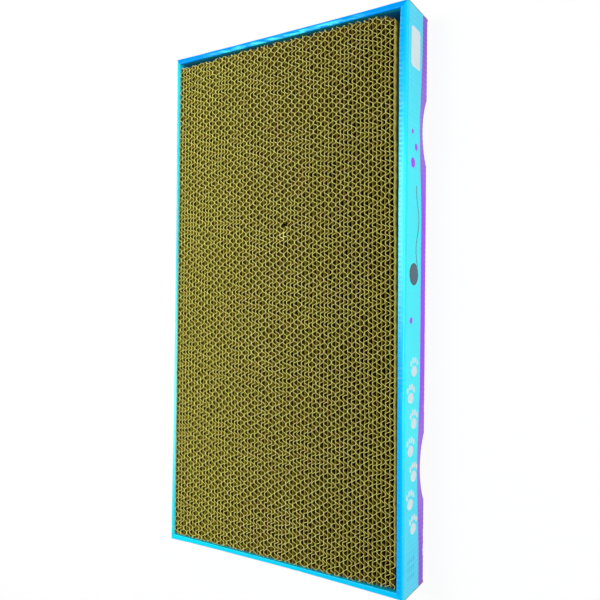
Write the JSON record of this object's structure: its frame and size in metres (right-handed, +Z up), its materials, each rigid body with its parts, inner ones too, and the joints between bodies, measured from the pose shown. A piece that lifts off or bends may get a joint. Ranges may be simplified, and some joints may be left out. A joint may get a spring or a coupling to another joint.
{
  "type": "cardboard cat scratcher",
  "caption": "Flat scratching pad of fluted board strips on edge, loose in a shallow printed tray with hemmed walls and finger notches.",
  "frame": {"origin": "middle of the underside, on the surface that the tray stands on", "axes": "+X along the length, +Y from the front long wall to the back one, +Z up out of the pad"},
  "size_m": [0.38, 0.196, 0.035],
  "materials": {
    "pad_board": "raw corrugated board",
    "tray_print": "satin print over micro-flute board",
    "tray_rim": "satin print, creased",
    "tray_lining": "satin print, inner face",
    "tray_kraft": "unprinted board"
  },
  "bodies": {
    "tray": {"tray_floor": "tray_kraft", "front_outer_wall": "tray_print", "front_rim": "tray_rim", "front_inner_wall": "tray_lining", "back_outer_wall": "tray_print", "back_rim": "tray_rim", "back_inner_wall": "tray_lining", "left_outer_wall": "tray_print", "left_rim": "tray_rim", "left_inner_wall": "tray_lining", "right_outer_wall": "tray_print", "right_rim": "tray_rim", "right_inner_wall": "tray_lining", "front_left_flap": "tray_kraft", "front_right_flap": "tray_kraft", "back_left_flap": "tray_kraft", "back_right_flap": "tray_kraft"},
    "pad": {"pad_strips_01_02": "pad_board", "pad_strips_03_04": "pad_board", "pad_strips_05_06": "pad_board", "pad_strips_07_08": "pad_board", "pad_strips_09_10": "pad_board", "pad_strips_11_12": "pad_board", "pad_strips_13_14": "pad_board", "pad_strips_15_16": "pad_board", "pad_strips_17_18": "pad_board", "pad_strips_19_20": "pad_board", "pad_strips_21_22": "pad_board", "pad_strips_23_24": "pad_board", "pad_strips_25_26": "pad_board", "pad_strips_27_28": "pad_board", "pad_strips_29_30": "pad_board", "pad_strips_31_32": "pad_board", "pad_strips_33_34": "pad_board", "pad_strips_35_36": "pad_board", "pad_strips_37_38": "pad_board", "pad_strips_39_40": "pad_board", "pad_strips_41_42": "pad_board", "pad_strips_43_44": "pad_board", "pad_strips_45_46": "pad_board", "pad_strips_47_48": "pad_board", "pad_strips_49_50": "pad_board", "pad_strips_51_52": "pad_board", "pad_strips_53_54": "pad_board", "pad_strips_55_56": "pad_board", "pad_strips_57_58": "pad_board", "pad_strips_59_60": "pad_board", "pad_strip_61": "pad_board"}
  },
  "joints": [
    {"name": "pad_lift", "type": "slide", "parent": "tray", "child": "pad", "axis": [0, 0, 1], "range_m": [0, 0.05]}
  ]
}
